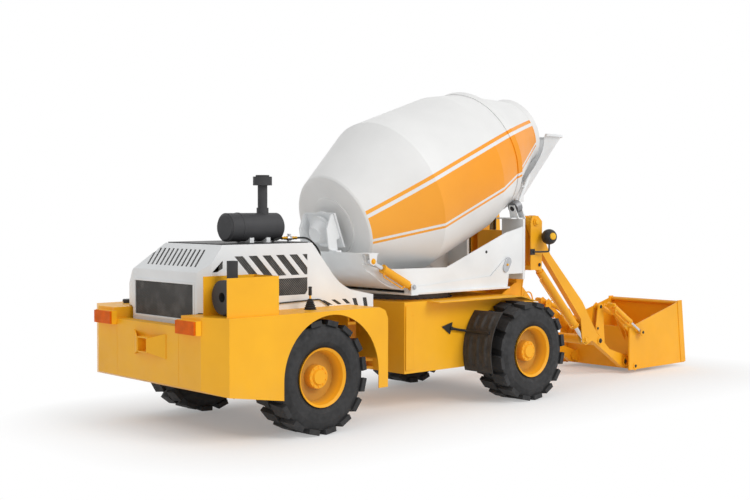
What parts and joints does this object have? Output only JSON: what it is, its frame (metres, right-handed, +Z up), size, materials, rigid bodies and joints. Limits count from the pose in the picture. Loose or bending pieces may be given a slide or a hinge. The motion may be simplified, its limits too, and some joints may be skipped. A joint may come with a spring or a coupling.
{
  "type": "self-loading concrete mixer",
  "caption": "Articulated self-loading concrete mixer with a slewing double-cone drum, side cab, rear engine hood and front loading arms with a gated bucket.",
  "frame": {"origin": "on the ground, on the centre plane, in the middle of the machine's length", "axes": "+X towards the bucket, +Y to the machine's left where the cab stands, +Z up"},
  "size_m": [8.8037, 2.51, 3.7296],
  "materials": {
    "yellow": "gloss",
    "white": "gloss",
    "black": "satin",
    "dark_metal": "matt",
    "tyre": "matt",
    "guard": "matt",
    "rod": "polished",
    "steel": "satin",
    "iron": "matt",
    "lamp": "gloss",
    "glass": "clear",
    "seat": "matt",
    "plastic": "matt"
  },
  "bodies": {
    "front_chassis": {"front_frame": "yellow", "front_axle": "dark_metal", "articulation_pins": "steel", "slew_ring": "steel", "boom_tower": "yellow", "work_lamp": "black", "front_mudguards": "guard", "cab_platform": "yellow", "cab_shell": "yellow", "cab_roof": "white", "cab_glass": "glass", "cab_seat": "seat", "cab_controls": "plastic", "cab_hinges": "black"},
    "rear_chassis": {"rear_frame": "yellow", "rear_axle": "dark_metal", "rear_body": "yellow", "tow_bracket": "yellow", "lamp_housings": "yellow", "tail_lamps": "lamp", "engine": "iron", "hood": "white", "hood_mesh": "black", "hood_top": "black", "guard_box": "yellow", "muffler": "dark_metal", "air_cleaner": "black", "cleaner_brackets": "white"},
    "turntable": {"slew_base": "white"},
    "drum_carrier": {"cradle": "white", "gearbox_pedestal": "white", "drum_gearbox": "white", "drum_rollers": "steel", "roller_brackets": "white", "hopper": "white"},
    "mixing_drum": {"drum": "white"},
    "cradle_barrels": {"cradle_cylinder_barrels": "yellow"},
    "cradle_rods": {"cradle_cylinder_rods": "rod"},
    "arms": {"loading_arms": "yellow"},
    "lift_barrels": {"lift_cylinder_barrels": "yellow"},
    "lift_rods": {"lift_cylinder_rods": "rod"},
    "bucket": {"bucket_back": "yellow"},
    "tilt_barrels": {"tilt_cylinder_barrels": "yellow"},
    "tilt_rods": {"tilt_cylinder_rods": "rod"},
    "gate": {"bucket_gate": "yellow"},
    "gate_barrels": {"gate_cylinder_barrels": "yellow"},
    "gate_rods": {"gate_cylinder_rods": "rod"},
    "door": {"cab_door": "yellow", "cab_door_glass": "glass"},
    "wheel_front_left": {"tyre_front_left": "tyre", "rim_front_left": "yellow"},
    "wheel_front_right": {"tyre_front_right": "tyre", "rim_front_right": "yellow"},
    "wheel_rear_left": {"tyre_rear_left": "tyre", "rim_rear_left": "yellow"},
    "wheel_rear_right": {"tyre_rear_right": "tyre", "rim_rear_right": "yellow"}
  },
  "joints": [
    {"name": "front_left_wheel", "type": "hinge", "parent": "front_chassis", "child": "wheel_front_left", "pos_m": [0.26, 0.99, 0.5875], "axis": [0, 1, 0], "continuous": true},
    {"name": "front_right_wheel", "type": "hinge", "parent": "front_chassis", "child": "wheel_front_right", "pos_m": [0.26, -0.99, 0.5875], "axis": [0, 1, 0], "continuous": true},
    {"name": "rear_left_wheel", "type": "hinge", "parent": "rear_chassis", "child": "wheel_rear_left", "pos_m": [-3, 0.99, 0.5875], "axis": [0, 1, 0], "continuous": true},
    {"name": "rear_right_wheel", "type": "hinge", "parent": "rear_chassis", "child": "wheel_rear_right", "pos_m": [-3, -0.99, 0.5875], "axis": [0, 1, 0], "continuous": true},
    {"name": "articulation", "type": "hinge", "parent": "front_chassis", "child": "rear_chassis", "pos_m": [-1.74, 0, 0.76], "axis": [0, 0, 1], "range_deg": [-35, 35]},
    {"name": "slew", "type": "hinge", "parent": "front_chassis", "child": "turntable", "pos_m": [-0.74, 0, 1.31], "axis": [0, 0, 1], "range_deg": [-90, 0]},
    {"name": "cradle_tilt", "type": "hinge", "parent": "turntable", "child": "drum_carrier", "pos_m": [0.384, 0, 1.597], "axis": [0, 1, 0], "range_deg": [0, 8]},
    {"name": "drum_spin", "type": "hinge", "parent": "drum_carrier", "child": "mixing_drum", "pos_m": [-1.846, 0, 2.096], "axis": [0.9345, 0, 0.3561], "continuous": true},
    {"name": "cradle_barrel_swing", "type": "hinge", "parent": "turntable", "child": "cradle_barrels", "pos_m": [-1.306, 0, 1.402], "axis": [0, 1, 0], "range_deg": [0, 21.25]},
    {"name": "cradle_rod_slide", "type": "slide", "parent": "cradle_barrels", "child": "cradle_rods", "axis": [-0.8941, 0, 0.4478], "range_m": [0, 0.1666]},
    {"name": "arm_lift", "type": "hinge", "parent": "front_chassis", "child": "arms", "pos_m": [1.109, 0, 2.111], "axis": [0, -1, 0], "range_deg": [0, 90]},
    {"name": "lift_barrel_swing", "type": "hinge", "parent": "front_chassis", "child": "lift_barrels", "pos_m": [1.175, 0, 1.566], "axis": [0, -1, 0], "range_deg": [0, 93.18]},
    {"name": "lift_rod_slide", "type": "slide", "parent": "lift_barrels", "child": "lift_rods", "axis": [0.6974, 0, -0.7167], "range_m": [0, 0.7738]},
    {"name": "bucket_tilt", "type": "hinge", "parent": "arms", "child": "bucket", "pos_m": [3.049, 0, 0.163], "axis": [0, 1, 0], "range_deg": [-8, 12]},
    {"name": "tilt_barrel_swing", "type": "hinge", "parent": "arms", "child": "tilt_barrels", "pos_m": [2.503, 0, 0.951], "axis": [0, 1, 0], "range_deg": [-7, 5]},
    {"name": "tilt_rod_slide", "type": "slide", "parent": "tilt_barrels", "child": "tilt_rods", "axis": [0.9485, 0, -0.3169], "range_m": [-0.078, 0.117]},
    {"name": "gate_open", "type": "hinge", "parent": "bucket", "child": "gate", "pos_m": [3.153, 0, 0.098], "axis": [0, -1, 0], "range_deg": [0, 20]},
    {"name": "gate_barrel_swing", "type": "hinge", "parent": "bucket", "child": "gate_barrels", "pos_m": [2.56, 0, 0.98], "axis": [0, 1, 0], "range_deg": [0, 8.43]},
    {"name": "gate_rod_slide", "type": "slide", "parent": "gate_barrels", "child": "gate_rods", "axis": [0.8489, 0, -0.5285], "range_m": [-0.1324, 0]},
    {"name": "door_swing", "type": "hinge", "parent": "front_chassis", "child": "door", "pos_m": [0.957, 1.274, 1.5], "axis": [0, 0, 1], "range_deg": [0, 85]}
  ],
  "couplings": [
    {"joint": "cradle_barrel_swing", "follows": "cradle_tilt", "ratio": 2.5936},
    {"joint": "cradle_rod_slide", "follows": "cradle_tilt", "m_per_rad": 1.1786},
    {"joint": "lift_barrel_swing", "follows": "arm_lift", "ratio": 1.0297},
    {"joint": "lift_rod_slide", "follows": "arm_lift", "m_per_rad": 0.49136},
    {"joint": "tilt_barrel_swing", "follows": "bucket_tilt", "ratio": -0.55},
    {"joint": "tilt_rod_slide", "follows": "bucket_tilt", "m_per_rad": 0.555},
    {"joint": "gate_barrel_swing", "follows": "gate_open", "ratio": 0.39653},
    {"joint": "gate_rod_slide", "follows": "gate_open", "m_per_rad": -0.37653}
  ]
}
